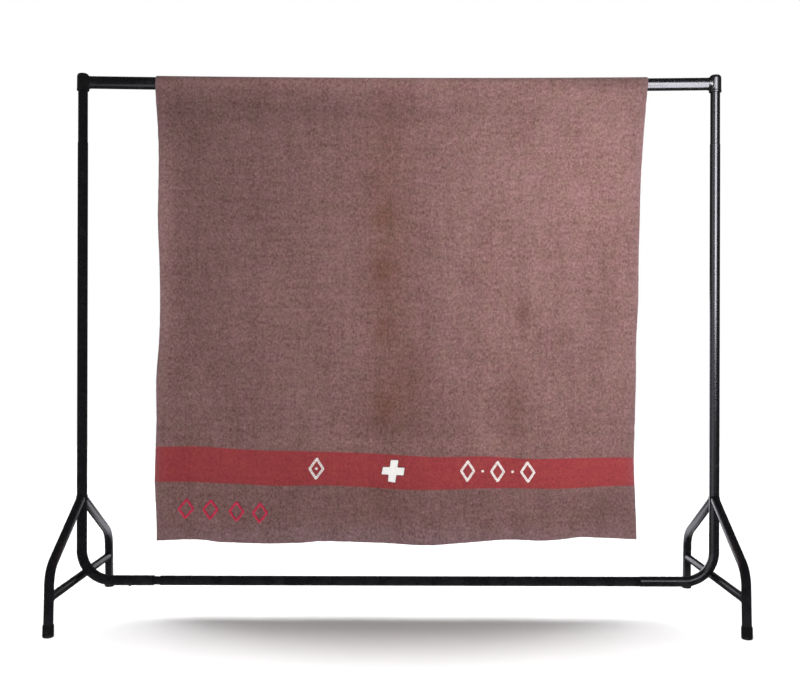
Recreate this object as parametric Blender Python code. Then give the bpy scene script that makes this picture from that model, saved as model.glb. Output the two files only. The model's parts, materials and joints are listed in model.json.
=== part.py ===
"""A wool blanket hanging over the top tube of a free-standing clothes rail.

Metres, +Z up. The origin is on the floor, midway between the feet, and the
blanket's front faces -Y.
"""

import bisect
import math

import bmesh
import bpy
from mathutils import Matrix, Vector
from mathutils.bvhtree import BVHTree

# Driving dimensions of the rail
RAIL_HEIGHT = 1.524
POST_X = 0.899
FIT_GAP = 0.0003
TUBE_SIDES = 24
SMOOTH_BELOW = math.radians(35.0)

TOP_RAIL_RADIUS = 0.0175
TOP_RAIL_Z = 1.4985
TOP_RAIL_SAG = 0.006
TOP_RAIL_BAYS = 16
TOP_RAIL_END_X = 0.8767

UPRIGHT_RADIUS = 0.0142
UPPER_POST_RADIUS = 0.0134
POST_JOINT_Z = 1.328

BOTTOM_RAIL_Z = 0.083
BOTTOM_RAIL_RADIUS = 0.0135
CORNER_BEND_RADIUS = 0.085
CORNER_BEND_STEPS = 9
CORNER_REACH_LEFT = 0.6925
CORNER_REACH_RIGHT = 0.6880
NECK_RADIUS = 0.0118
NECK_LENGTH = 0.0165
NECK_STEP = 0.0005

LEG_RADIUS = 0.0125
LEG_TOP_Z = 0.322
FOOT_Y = 0.268
LEG_SPLAY = math.radians(3.0)
BRACE_SLOPE = math.radians(30.5)
KNEE_RADIUS = 0.070
KNEE_STEPS = 6
CROSSBAR_RADIUS = 0.011
CROSSBAR_Z = 0.0975
SADDLE_REACH = 0.08

FOOT_RADIUS = 0.0145
FOOT_HEIGHT = 0.032
FOOT_EDGE = 0.003
FOOT_EDGE_STEPS = 3

# Driving dimensions of the corner fittings
FITTING_RADIUS = 0.018
FITTING_BOTTOM_Z = 1.4745
LIP_HEIGHT = 0.005
LIP_PROUD = 0.0012
DOME_HEIGHT = 0.009
DOME_FLAT_SHARE = 0.45
DOME_STEPS = 4
COLLAR_RADIUS = 0.0178
COLLAR_EDGE = 0.002
COLLAR_FLARE_X = POST_X - 0.010
COLLAR_FLARE_TALL = 1.36
COLLAR_ROOT_WIDE = 0.6
COLLAR_ROOT_TALL = 0.7

# Driving dimensions of the cloth
CLOTH_THICKNESS = 0.003
CLOTH_LENGTH = 2.0
WRAP_RADIUS = TOP_RAIL_RADIUS + CLOTH_THICKNESS / 2 + 0.0004
COLUMNS = 44
FRONT_ROWS = 22
WRAP_ROWS = 12
BACK_ROWS = 10

# The side edges of the front panel. Columns: height, left edge, right edge.
FRONT_OUTLINE = [
    (0.195, -0.679, 0.676),
    (0.260, -0.680, 0.674),
    (0.370, -0.685, 0.669),
    (0.430, -0.684, 0.667),
    (0.540, -0.681, 0.669),
    (0.655, -0.682, 0.671),
    (0.770, -0.674, 0.671),
    (0.880, -0.672, 0.676),
    (0.995, -0.675, 0.677),
    (1.105, -0.680, 0.680),
    (1.220, -0.679, 0.683),
    (1.305, -0.679, 0.688),
    (1.390, -0.683, 0.694),
    (1.460, -0.688, 0.700),
    (1.500, -0.689, 0.704),
]

# The side edges of the back panel. Columns: height, left edge, right edge.
BACK_OUTLINE = [
    (0.850, -0.667, 0.671),
    (1.100, -0.672, 0.676),
    (1.300, -0.675, 0.682),
    (1.500, -0.687, 0.702),
]

# The front hem. Columns: place across, height of the edge.
FRONT_HEM = [
    (-0.680, 0.2020),
    (-0.560, 0.2020),
    (-0.500, 0.1955),
    (-0.280, 0.1940),
    (-0.220, 0.1985),
    (-0.110, 0.1965),
    (0.060, 0.1900),
    (0.120, 0.1910),
    (0.230, 0.1990),
    (0.290, 0.2035),
    (0.400, 0.2030),
    (0.455, 0.2070),
    (0.515, 0.2135),
    (0.570, 0.2110),
    (0.675, 0.2050),
]

# Soft folds of each panel. Columns: place across, half width, how far the
# cloth stands proud at the hem, height where it dies out, lean to the right
# for each metre of height.
FRONT_FOLDS = [
    (-0.675, 0.045, 0.010, 1.25, 0.00),
    (-0.570, 0.060, -0.004, 1.05, 0.00),
    (-0.370, 0.055, 0.008, 1.30, 0.02),
    (-0.210, 0.070, -0.003, 0.95, 0.00),
    (-0.040, 0.045, -0.005, 1.47, -0.01),
    (0.085, 0.070, 0.007, 1.20, 0.00),
    (0.325, 0.045, -0.007, 1.10, -0.02),
    (0.460, 0.080, 0.008, 1.35, 0.02),
    (0.660, 0.060, -0.007, 1.15, 0.00),
]
BACK_FOLDS = [
    (-0.640, 0.070, 0.006, 1.35, 0.00),
    (-0.330, 0.060, 0.004, 1.42, 0.03),
    (-0.030, 0.050, -0.003, 1.45, 0.00),
    (0.240, 0.080, 0.007, 1.40, 0.00),
    (0.560, 0.070, 0.004, 1.38, -0.03),
]

# Broad swell of the front panel where it was stored folded across
SWELL_Z = 0.86
SWELL_HALF_HEIGHT = 0.24
SWELL_PROUD = 0.005

# Driving dimensions of the cross
CROSS_X = -0.0141
CROSS_Z = 0.398
CROSS_SPAN = 0.065
CROSS_LEAN = 0.14
CROSS_FALL = 0.03
CROSS_THICKNESS = 0.0016
CROSS_CUTS = 9


def clear_scene():
    for old in list(bpy.data.objects):
        bpy.data.objects.remove(old, do_unlink=True)


def make_material(name, colour, roughness, metallic):
    material = bpy.data.materials.new(name)
    material.use_nodes = True
    shader = material.node_tree.nodes["Principled BSDF"]
    shader.inputs["Base Color"].default_value = (*colour, 1.0)
    shader.inputs["Roughness"].default_value = roughness
    shader.inputs["Metallic"].default_value = metallic
    return material


def add_object(bm, name, material, smooth_below):
    """Turn a bmesh into a named object, smooth where its faces meet gently."""
    bmesh.ops.recalc_face_normals(bm, faces=bm.faces)
    mesh = bpy.data.meshes.new(name)
    bm.to_mesh(mesh)
    bm.free()
    mesh.materials.append(material)
    mesh.shade_smooth()
    mesh.set_sharp_from_angle(angle=smooth_below)
    obj = bpy.data.objects.new(name, mesh)
    bpy.context.scene.collection.objects.link(obj)
    return obj


def add_cutter(bm, name):
    """A helper shape for a Boolean, which isn't part of the object."""
    cutter = add_object(bm, name, None, SMOOTH_BELOW)
    cutter.hide_render = True
    cutter.display_type = "WIRE"
    return cutter


def cut(obj, cutter):
    boolean = obj.modifiers.new("Cut", "BOOLEAN")
    boolean.operation = "DIFFERENCE"
    boolean.object = cutter


def start_tube(bm, start, heading, radius):
    """A round end face at start, looking back along the heading."""
    facing = Vector(heading).normalized().to_track_quat("Z", "Y").to_matrix().to_4x4()
    bmesh.ops.create_circle(
        bm,
        cap_ends=True,
        radius=radius,
        segments=TUBE_SIDES,
        matrix=Matrix.Translation(start) @ facing,
    )
    bm.faces.ensure_lookup_table()
    return bm.faces[0]


def only_face(geometry):
    return next(item for item in geometry if isinstance(item, bmesh.types.BMFace))


def run_on(bm, face, move):
    """Extrude the tube's end face along a straight move."""
    inside = len(bm.faces) > 1
    grown = bmesh.ops.extrude_face_region(bm, geom=[face])["geom"]
    ends = [item for item in grown if isinstance(item, bmesh.types.BMVert)]
    bmesh.ops.translate(bm, verts=ends, vec=Vector(move))
    if inside:
        bmesh.ops.delete(bm, geom=[face], context="FACES_ONLY")
    return only_face(grown)


def turn_on(bm, face, heading, towards, radius, angle, steps):
    """Spin the tube's end face round a bend."""
    axis = heading.cross(towards)
    centre = face.calc_center_median() + towards * radius
    spun = bmesh.ops.spin(bm, geom=[face], cent=centre, axis=axis, angle=angle, steps=steps)
    return only_face(spun["geom_last"])


def scale_ring(bm, face, factors):
    place = Matrix.Translation(-face.calc_center_median())
    bmesh.ops.scale(bm, verts=list(face.verts), vec=Vector(factors), space=place)


def turned_bar(start, heading, rows):
    """A round bar from rows of distance along and radius."""
    bm = bmesh.new()
    heading = Vector(heading).normalized()
    face = start_tube(bm, start, heading, rows[0][1])
    for (along, radius), (next_along, next_radius) in zip(rows, rows[1:]):
        face = run_on(bm, face, heading * (next_along - along))
        factor = next_radius / radius
        scale_ring(bm, face, (factor, factor, factor))
    return bm


def straight_tube(start, end, radius):
    move = Vector(end) - Vector(start)
    return turned_bar(start, move, [(0.0, radius), (move.length, radius)])


def rail_drop(x):
    """How far the loaded top tube hangs below its ends at a place across."""
    return TOP_RAIL_SAG * max(0.0, 1.0 - (x / TOP_RAIL_END_X) ** 2)


def rail_height(x):
    return TOP_RAIL_Z - rail_drop(x)


def make_top_rail(paint):
    """The thick tube that the cloth hangs over."""
    bm = bmesh.new()
    start = (-TOP_RAIL_END_X, 0.0, TOP_RAIL_Z)
    face = start_tube(bm, start, (1.0, 0.0, 0.0), TOP_RAIL_RADIUS)
    bay = 2.0 * TOP_RAIL_END_X / TOP_RAIL_BAYS
    for index in range(TOP_RAIL_BAYS):
        here = -TOP_RAIL_END_X + index * bay
        rise = rail_height(here + bay) - rail_height(here)
        face = run_on(bm, face, (bay, 0.0, rise))
    add_object(bm, "top_rail", paint, SMOOTH_BELOW)


def quarter_turn(steps):
    """Sine and cosine at even steps up to a quarter turn, without the start."""
    for index in range(1, steps + 1):
        angle = math.pi / 2.0 * index / steps
        yield math.sin(angle), math.cos(angle)


def barrel_profile():
    """Distance up and radius of each ring of a fitting's barrel."""
    shoulder = RAIL_HEIGHT - FITTING_BOTTOM_Z - DOME_HEIGHT
    rows = [
        (0.0, FITTING_RADIUS + LIP_PROUD),
        (LIP_HEIGHT, FITTING_RADIUS + LIP_PROUD),
        (LIP_HEIGHT + LIP_PROUD, FITTING_RADIUS),
        (shoulder, FITTING_RADIUS),
    ]
    for up, inwards in quarter_turn(DOME_STEPS):
        share = DOME_FLAT_SHARE + (1.0 - DOME_FLAT_SHARE) * inwards
        rows.append((shoulder + DOME_HEIGHT * up, FITTING_RADIUS * share))
    return rows


def make_collar(side, name):
    """The socket of a fitting, which flares up and down into its barrel."""
    bm = bmesh.new()
    mouth_x = TOP_RAIL_END_X + FIT_GAP
    outward = Vector((side, 0.0, 0.0))
    face = start_tube(bm, (side * mouth_x, 0.0, TOP_RAIL_Z), outward, COLLAR_RADIUS)
    face = run_on(bm, face, outward * COLLAR_EDGE)
    face = run_on(bm, face, outward * (COLLAR_FLARE_X - mouth_x - COLLAR_EDGE))
    scale_ring(bm, face, (1.0, 1.0, COLLAR_FLARE_TALL))
    face = run_on(bm, face, outward * (POST_X - COLLAR_FLARE_X))
    scale_ring(bm, face, (1.0, COLLAR_ROOT_WIDE, COLLAR_ROOT_TALL))
    return add_cutter(bm, name)


def make_fitting(side, label, plastic):
    """A moulded corner piece: a domed barrel joined to its flared collar."""
    bottom = (side * POST_X, 0.0, FITTING_BOTTOM_Z)
    bm = turned_bar(bottom, (0.0, 0.0, 1.0), barrel_profile())
    fitting = add_object(bm, "corner_fitting_" + label, plastic, SMOOTH_BELOW)
    join = fitting.modifiers.new("Collar", "BOOLEAN")
    join.operation = "UNION"
    join.object = make_collar(side, "collar_" + label)


def make_posts(side, label, paint):
    """The straight tube of one side and the thinner tube that slides into it."""
    low = (side * POST_X, 0.0, BOTTOM_RAIL_Z + CORNER_BEND_RADIUS)
    joint = (side * POST_X, 0.0, POST_JOINT_Z)
    bm = straight_tube(low, joint, UPRIGHT_RADIUS)
    add_object(bm, "upright_" + label, paint, SMOOTH_BELOW)

    low = (side * POST_X, 0.0, POST_JOINT_Z + FIT_GAP)
    high = (side * POST_X, 0.0, FITTING_BOTTOM_Z - FIT_GAP)
    bm = straight_tube(low, high, UPPER_POST_RADIUS)
    add_object(bm, "upper_post_" + label, paint, SMOOTH_BELOW)


def make_base_corner(side, label, reach, paint):
    """The bend at the foot of an upright, with its short run inwards."""
    bm = bmesh.new()
    start = (side * POST_X, 0.0, BOTTOM_RAIL_Z + CORNER_BEND_RADIUS - FIT_GAP)
    down = Vector((0.0, 0.0, -1.0))
    inward = Vector((-side, 0.0, 0.0))
    face = start_tube(bm, start, down, UPRIGHT_RADIUS)
    face = turn_on(
        bm, face, down, inward, CORNER_BEND_RADIUS, math.pi / 2.0, CORNER_BEND_STEPS
    )
    run_on(bm, face, inward * (POST_X - CORNER_BEND_RADIUS - reach))
    add_object(bm, "base_corner_" + label, paint, SMOOTH_BELOW)


def make_bottom_rail(paint):
    """The middle tube of the base; its neck shows at the left joint."""
    start_x = -CORNER_REACH_LEFT + FIT_GAP
    end_x = CORNER_REACH_RIGHT - FIT_GAP
    rows = [
        (0.0, NECK_RADIUS),
        (NECK_LENGTH, NECK_RADIUS),
        (NECK_LENGTH + NECK_STEP, BOTTOM_RAIL_RADIUS),
        (end_x - start_x, BOTTOM_RAIL_RADIUS),
    ]
    bm = turned_bar((start_x, 0.0, BOTTOM_RAIL_Z), (1.0, 0.0, 0.0), rows)
    add_object(bm, "bottom_rail", paint, SMOOTH_BELOW)


def leg_corner():
    """Where a leg's two straight stretches would meet: distance out, height."""
    slope = math.tan(BRACE_SLOPE)
    splay = math.tan(LEG_SPLAY)
    height = (LEG_TOP_Z - slope * FOOT_Y) / (1.0 - slope * splay)
    return FOOT_Y - splay * height, height


def knee_angle():
    return math.pi / 2.0 - LEG_SPLAY - BRACE_SLOPE


def leg_axis(side, out, height):
    """The middle of a leg's lower stretch at a height."""
    return Vector((side * POST_X, out * (FOOT_Y - math.tan(LEG_SPLAY) * height), height))


def make_brace(side, out, label, paint, post_cutter):
    """The sloping stretch of a leg, its top cut to saddle on the upright."""
    top = Vector((side * POST_X, 0.0, LEG_TOP_Z))
    knee, along, _ = knee_start(side, out)
    bm = straight_tube(top, knee - along * FIT_GAP, LEG_RADIUS)
    brace = add_object(bm, "brace_" + label, paint, SMOOTH_BELOW)
    cut(brace, post_cutter)


def knee_start(side, out):
    """Where a leg's knee begins, the heading there and the way that it turns."""
    corner_out, corner_z = leg_corner()
    along = Vector((0.0, out * math.cos(BRACE_SLOPE), -math.sin(BRACE_SLOPE)))
    towards = Vector((0.0, -out * math.sin(BRACE_SLOPE), -math.cos(BRACE_SLOPE)))
    back = KNEE_RADIUS * math.tan(knee_angle() / 2.0)
    corner = Vector((side * POST_X, out * corner_out, corner_z))
    return corner - along * back, along, towards


def make_leg(side, out, label, paint):
    """The knee and the lower stretch of a leg, cut off level over its cap."""
    knee, along, towards = knee_start(side, out)
    bm = bmesh.new()
    face = start_tube(bm, knee, along, LEG_RADIUS)
    face = turn_on(bm, face, along, towards, KNEE_RADIUS, knee_angle(), KNEE_STEPS)
    run_on(bm, face, leg_axis(side, out, 0.0) - face.calc_center_median())
    trim_level(bm, FOOT_HEIGHT + FIT_GAP)
    add_object(bm, "leg_" + label, paint, SMOOTH_BELOW)


def trim_level(bm, height):
    """Cut a tube off level at a height and close its end."""
    everything = list(bm.verts) + list(bm.edges) + list(bm.faces)
    trimmed = bmesh.ops.bisect_plane(
        bm,
        geom=everything,
        plane_co=(0.0, 0.0, height),
        plane_no=(0.0, 0.0, -1.0),
        clear_outer=True,
    )
    rim = [item for item in trimmed["geom_cut"] if isinstance(item, bmesh.types.BMEdge)]
    bmesh.ops.holes_fill(bm, edges=rim, sides=0)


def make_foot(side, out, label, rubber):
    """A push-on cap, leaning with its leg and level where it stands."""
    rows = [(0.0, FOOT_RADIUS - FOOT_EDGE)]
    for outwards, up in quarter_turn(FOOT_EDGE_STEPS):
        rows.append((FOOT_EDGE * (1.0 - up), FOOT_RADIUS - FOOT_EDGE * (1.0 - outwards)))
    rows.append((FOOT_HEIGHT, FOOT_RADIUS))
    bm = turned_bar(leg_axis(side, out, 0.0), (0.0, 0.0, 1.0), rows)
    for vert in bm.verts:
        vert.co.y -= out * math.tan(LEG_SPLAY) * vert.co.z
    add_object(bm, "foot_" + label, rubber, SMOOTH_BELOW)


def make_crossbar(side, label, paint, leg_cutters):
    """The bar outside the base corner, its ends cut to saddle on the legs."""
    front = leg_axis(side, -1, CROSSBAR_Z)
    rear = leg_axis(side, 1, CROSSBAR_Z)
    bm = straight_tube(front, rear, CROSSBAR_RADIUS)
    bar = add_object(bm, "crossbar_" + label, paint, SMOOTH_BELOW)
    for cutter in leg_cutters:
        cut(bar, cutter)


def saddle_cutter(low, high, radius, name):
    """The shape of a tube, a fit's gap larger, that cuts another's end."""
    return add_cutter(straight_tube(low, high, radius + FIT_GAP), name)


def make_side(side, label, reach, paint, plastic, rubber):
    """All the tubes, legs and feet of one end of the rail."""
    make_fitting(side, label, plastic)
    make_posts(side, label, paint)
    make_base_corner(side, label, reach, paint)

    low = (side * POST_X, 0.0, LEG_TOP_Z - SADDLE_REACH)
    high = (side * POST_X, 0.0, LEG_TOP_Z + SADDLE_REACH)
    post_cutter = saddle_cutter(low, high, UPRIGHT_RADIUS, "post_saddle_" + label)

    leg_cutters = []
    for out, where in ((-1, "front"), (1, "rear")):
        leg_label = where + "_" + label
        make_brace(side, out, leg_label, paint, post_cutter)
        make_leg(side, out, leg_label, paint)
        make_foot(side, out, leg_label, rubber)
        low = leg_axis(side, out, CROSSBAR_Z - SADDLE_REACH / 2.0)
        high = leg_axis(side, out, CROSSBAR_Z + SADDLE_REACH / 2.0)
        leg_cutters.append(saddle_cutter(low, high, LEG_RADIUS, "leg_saddle_" + leg_label))
    make_crossbar(side, label, paint, leg_cutters)


def smooth_step(low, high, value):
    share = min(1.0, max(0.0, (value - low) / (high - low)))
    return share * share * (3.0 - 2.0 * share)


def read_table(table, column, place):
    """A smooth curve through one column of a table, by its first column."""
    places = [row[0] for row in table]
    if place <= places[0]:
        return table[0][column]
    if place >= places[-1]:
        return table[-1][column]
    index = bisect.bisect_right(places, place) - 1

    def slope(at):
        before = max(at - 1, 0)
        after = min(at + 1, len(table) - 1)
        rise = table[after][column] - table[before][column]
        return rise / (places[after] - places[before])

    span = places[index + 1] - places[index]
    t = (place - places[index]) / span
    start = table[index][column]
    end = table[index + 1][column]
    return (
        (2 * t**3 - 3 * t**2 + 1) * start
        + (t**3 - 2 * t**2 + t) * span * slope(index)
        + (-2 * t**3 + 3 * t**2) * end
        + (t**3 - t**2) * span * slope(index + 1)
    )


def fold_relief(folds, hem, across, height):
    """How far a panel stands proud of the plane that it hangs in."""
    proud = 0.0
    for place, half_width, depth, dies_at, lean in folds:
        offset = across - (place + lean * (height - hem))
        grows = 1.0 - smooth_step(hem, dies_at, height)
        proud += depth * grows * math.exp(-((offset / half_width) ** 2))
    return proud


def front_relief(across, height):
    lift = (height - SWELL_Z) / SWELL_HALF_HEIGHT
    swell = SWELL_PROUD * math.exp(-(lift**2))
    return swell + fold_relief(FRONT_FOLDS, FRONT_HEM[0][1], across, height)


def back_relief(across, height):
    return fold_relief(BACK_FOLDS, BACK_OUTLINE[0][0], across, height)


def back_hem(across):
    """The length left over for the back, after the front and the wrap."""
    front = rail_height(across) - read_table(FRONT_HEM, 1, across)
    over = math.pi * WRAP_RADIUS
    return rail_height(across) - (CLOTH_LENGTH - front - over)


def edge_to_edge(outline, height, share):
    left = read_table(outline, 1, height)
    right = read_table(outline, 2, height)
    return left + (right - left) * share


def drape(share, row):
    """The middle of the cloth at a share of its width and a row along it."""
    over = edge_to_edge(FRONT_OUTLINE, TOP_RAIL_Z, share)
    crest = rail_height(over)
    if row <= FRONT_ROWS:
        foot = edge_to_edge(FRONT_OUTLINE, FRONT_OUTLINE[0][0], share)
        hem = read_table(FRONT_HEM, 1, foot)
        height = hem + (crest - hem) * row / FRONT_ROWS
        across = edge_to_edge(FRONT_OUTLINE, height, share)
        return Vector((across, -WRAP_RADIUS - front_relief(across, height), height))
    if row <= FRONT_ROWS + WRAP_ROWS:
        angle = math.pi * (row - FRONT_ROWS) / WRAP_ROWS
        rise = WRAP_RADIUS * math.sin(angle)
        return Vector((over, -WRAP_RADIUS * math.cos(angle), crest + rise))
    down = (row - FRONT_ROWS - WRAP_ROWS) / BACK_ROWS
    height = crest + (back_hem(over) - crest) * down
    across = edge_to_edge(BACK_OUTLINE, height, share)
    return Vector((across, WRAP_RADIUS + back_relief(across, height), height))


def thicken(obj, thickness):
    solid = obj.modifiers.new("Thickness", "SOLIDIFY")
    solid.thickness = thickness
    solid.offset = 0.0
    solid.use_even_offset = True


def make_blanket(wool):
    """One length of cloth, draped over the top tube."""
    rows = FRONT_ROWS + WRAP_ROWS + BACK_ROWS
    bm = bmesh.new()
    bmesh.ops.create_grid(bm, x_segments=COLUMNS, y_segments=rows, size=0.5)
    for vert in bm.verts:
        row = round((vert.co.y + 0.5) * rows)
        vert.co = drape(vert.co.x + 0.5, row)
    blanket = add_object(bm, "blanket", wool, math.pi)
    thicken(blanket, CLOTH_THICKNESS)
    return blanket


def make_cross(felt, blanket):
    """The sewn white cross, laid on the front face of the cloth."""
    bpy.context.view_layer.update()
    cloth = BVHTree.FromObject(blanket, bpy.context.evaluated_depsgraph_get())
    bm = bmesh.new()
    bmesh.ops.create_grid(bm, x_segments=CROSS_CUTS, y_segments=CROSS_CUTS, size=CROSS_SPAN / 2)
    arm = CROSS_SPAN / 6.0
    corners = []
    for face in bm.faces:
        middle = face.calc_center_median()
        if abs(middle.x) > arm and abs(middle.y) > arm:
            corners.append(face)
    bmesh.ops.delete(bm, geom=corners, context="FACES")
    backwards = Vector((0.0, 1.0, 0.0))
    lift = backwards * (FIT_GAP + CROSS_THICKNESS / 2.0)
    for vert in bm.verts:
        across = CROSS_X + vert.co.x + CROSS_LEAN * vert.co.y
        height = CROSS_Z + vert.co.y - CROSS_FALL * vert.co.x
        ahead = Vector((across, -POST_X, height))
        vert.co = cloth.ray_cast(ahead, backwards)[0] - lift
    cross = add_object(bm, "cross", felt, math.pi)
    thicken(cross, CROSS_THICKNESS)


def main():
    clear_scene()
    wool = make_material("wool", (0.19, 0.10, 0.09), 0.95, 0.0)
    felt = make_material("white_felt", (0.85, 0.82, 0.76), 0.9, 0.0)
    paint = make_material("black_paint", (0.012, 0.011, 0.015), 0.35, 0.0)
    plastic = make_material("black_plastic", (0.012, 0.011, 0.013), 0.45, 0.0)
    rubber = make_material("black_rubber", (0.010, 0.010, 0.010), 0.7, 0.0)
    blanket = make_blanket(wool)
    make_cross(felt, blanket)
    make_top_rail(paint)
    make_bottom_rail(paint)
    make_side(-1, "left", CORNER_REACH_LEFT, paint, plastic, rubber)
    make_side(1, "right", CORNER_REACH_RIGHT, paint, plastic, rubber)


main()
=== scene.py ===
import bisect
import json
import math
import random

import bmesh
import bpy
from mathutils import Matrix, Vector, noise
from mathutils.bvhtree import BVHTree

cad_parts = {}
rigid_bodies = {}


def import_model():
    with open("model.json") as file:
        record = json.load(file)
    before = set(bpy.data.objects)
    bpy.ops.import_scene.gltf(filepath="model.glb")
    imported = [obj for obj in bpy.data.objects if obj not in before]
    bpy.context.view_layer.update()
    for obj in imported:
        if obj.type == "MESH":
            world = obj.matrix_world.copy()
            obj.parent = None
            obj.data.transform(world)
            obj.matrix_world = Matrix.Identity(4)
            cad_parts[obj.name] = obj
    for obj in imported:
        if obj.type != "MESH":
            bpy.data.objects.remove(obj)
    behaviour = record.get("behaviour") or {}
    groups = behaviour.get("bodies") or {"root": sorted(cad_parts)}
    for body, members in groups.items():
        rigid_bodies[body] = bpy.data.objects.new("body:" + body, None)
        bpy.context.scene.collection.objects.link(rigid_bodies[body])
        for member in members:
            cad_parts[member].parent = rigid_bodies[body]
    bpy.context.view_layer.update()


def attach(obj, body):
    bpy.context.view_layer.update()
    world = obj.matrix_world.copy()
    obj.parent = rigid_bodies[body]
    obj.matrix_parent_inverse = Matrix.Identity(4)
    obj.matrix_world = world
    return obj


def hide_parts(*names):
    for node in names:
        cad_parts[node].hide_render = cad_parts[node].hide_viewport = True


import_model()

# The uprights. Each is one steel tube, bent inwards at its foot to meet the
# bottom rail. It is powder coated black after bending, which leaves a faint
# orange peel and a satin gloss.
POST_X = 0.899
UPRIGHT_RADIUS = 0.0142
POST_JOINT_Z = 1.328
BASE_Z = 0.083
BASE_BEND = 0.085
BASE_REACH = {"left": 0.6925, "right": 0.6880}
TUBE_SIDES = 48
TUBE_RIM = 0.0008
SMOOTH_BELOW = math.radians(35)
SIDES = {"left": -1, "right": 1}


class Level:
    """A value that changes over a surface; sums on it add Math nodes."""

    def __init__(self, finish, socket):
        self.finish = finish
        self.socket = socket

    def __add__(self, other):
        return self.finish.maths("ADD", self, other)

    def __radd__(self, other):
        return self.finish.maths("ADD", other, self)

    def __sub__(self, other):
        return self.finish.maths("SUBTRACT", self, other)

    def __rsub__(self, other):
        return self.finish.maths("SUBTRACT", other, self)

    def __mul__(self, other):
        return self.finish.maths("MULTIPLY", self, other)

    def __rmul__(self, other):
        return self.finish.maths("MULTIPLY", other, self)

    def __abs__(self):
        return self.finish.maths("ABSOLUTE", self)


class Finish:
    """One surface finish, built up node by node onto its main shader."""

    def __init__(self, name, constants):
        self.material = bpy.data.materials.new(name)
        self.material.use_nodes = True
        self.tree = self.material.node_tree
        self.surface = self.tree.nodes["Principled BSDF"]
        self.feed(self.surface, constants)

    def feed(self, node, sockets):
        for key, value in sockets.items():
            value = getattr(value, "socket", value)
            if isinstance(value, bpy.types.NodeSocket):
                self.tree.links.new(value, node.inputs[key])
            else:
                node.inputs[key].default_value = value

    def add(self, kind, settings, sockets):
        """A node of any other kind: its settings first, then its sockets."""
        node = self.tree.nodes.new(kind)
        for name, value in settings.items():
            setattr(node, name, value)
        self.feed(node, sockets)
        return node

    def maths(self, operation, *values):
        node = self.add("ShaderNodeMath", {"operation": operation}, dict(enumerate(values)))
        return Level(self, node.outputs[0])

    def place(self):
        return self.add("ShaderNodeTexCoord", {}, {}).outputs["Object"]

    def painted(self, name):
        """A level painted on the piece's own points."""
        node = self.add("ShaderNodeAttribute", {"attribute_name": name}, {})
        return Level(self, node.outputs["Fac"])

    def tinted(self, colour, *levels):
        """A colour with its red, green and blue each multiplied by a level."""
        tint = self.add("ShaderNodeCombineColor", {}, dict(enumerate(levels)))
        return self.mix(1.0, colour, tint.outputs[0], "MULTIPLY")

    def across_up(self, place):
        """The three coordinates of a place, as levels."""
        split = self.add("ShaderNodeSeparateXYZ", {}, {0: place})
        return [Level(self, socket) for socket in split.outputs]

    def stretched(self, place, scale):
        return self.add("ShaderNodeMapping", {}, {"Vector": place, "Scale": scale}).outputs[0]

    def speckle(self, place, per_metre, detail=2.0, roughness=0.5):
        sockets = {"Vector": place, "Scale": per_metre, "Detail": detail, "Roughness": roughness}
        return Level(self, self.add("ShaderNodeTexNoise", {}, sockets).outputs[0])

    def ease(self, level, low, high):
        """Nought below low, one above high, and smooth between."""
        sockets = {"Value": level, "From Min": low, "From Max": high}
        node = self.add("ShaderNodeMapRange", {"interpolation_type": "SMOOTHSTEP"}, sockets)
        return Level(self, node.outputs[0])

    def mix(self, share, first, second, how="MIX"):
        settings = {"data_type": "RGBA", "blend_type": how}
        return self.add("ShaderNodeMix", settings, {0: share, 6: first, 7: second}).outputs[2]

    def finish(self, colour, roughness, height, depth):
        """Feed the surface its colour, roughness and relief in metres."""
        relief = self.add("ShaderNodeBump", {}, {"Height": height, "Distance": depth})
        sockets = {"Base Color": colour, "Roughness": roughness, "Normal": relief.outputs[0]}
        self.feed(self.surface, sockets)
        return self.material


def powder_coat():
    coat = Finish("powder_coat", {"Specular IOR Level": 0.55})
    place = coat.place()
    peel = coat.speckle(place, 620, 2.0, 0.45)
    haze = coat.speckle(place, 26, 4.0, 0.6)
    low = 1 - coat.ease(coat.across_up(place)[2], 0.01, 0.16)
    dust = coat.ease(haze + low * 0.25, 0.48, 0.85)
    nick = coat.ease(coat.speckle(place, 140, 3.0, 0.7), 0.735, 0.76)
    colour = coat.mix(dust, (0.0060, 0.0055, 0.0080, 1), (0.015, 0.0145, 0.018, 1))
    colour = coat.mix(nick * 0.6, colour, (0.06, 0.058, 0.062, 1))
    return coat.finish(colour, 0.24 + haze * 0.05 + dust * 0.06, peel - nick * 0.5, 0.000003)


def start_tube(bm, start, heading, radius):
    """A round end face at start, looking back along the heading."""
    facing = Vector(heading).normalized().to_track_quat("Z", "Y").to_matrix().to_4x4()
    place = Matrix.Translation(start) @ facing
    bmesh.ops.create_circle(bm, cap_ends=True, radius=radius, segments=TUBE_SIDES, matrix=place)
    bm.faces.ensure_lookup_table()
    return bm.faces[0]


def only_face(geometry):
    return next(item for item in geometry if isinstance(item, bmesh.types.BMFace))


def run_on(bm, face, move, grow=(1.0, 1.0, 1.0)):
    """Extrude the tube's end face along a move, then widen or narrow it."""
    inside = len(bm.faces) > 1
    grown = bmesh.ops.extrude_face_region(bm, geom=[face])["geom"]
    ends = [item for item in grown if isinstance(item, bmesh.types.BMVert)]
    bmesh.ops.translate(bm, verts=ends, vec=Vector(move))
    if inside:
        bmesh.ops.delete(bm, geom=[face], context="FACES_ONLY")
    end = only_face(grown)
    middle = Matrix.Translation(-end.calc_center_median())
    bmesh.ops.scale(bm, verts=ends, vec=Vector(grow), space=middle)
    return end


def turn_on(bm, face, heading, towards, radius, angle, steps):
    """Spin the tube's end face round a bend."""
    centre = face.calc_center_median() + towards * radius
    axis = heading.cross(towards)
    spun = bmesh.ops.spin(bm, geom=[face], cent=centre, axis=axis, angle=angle, steps=steps)
    return only_face(spun["geom_last"])


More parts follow.
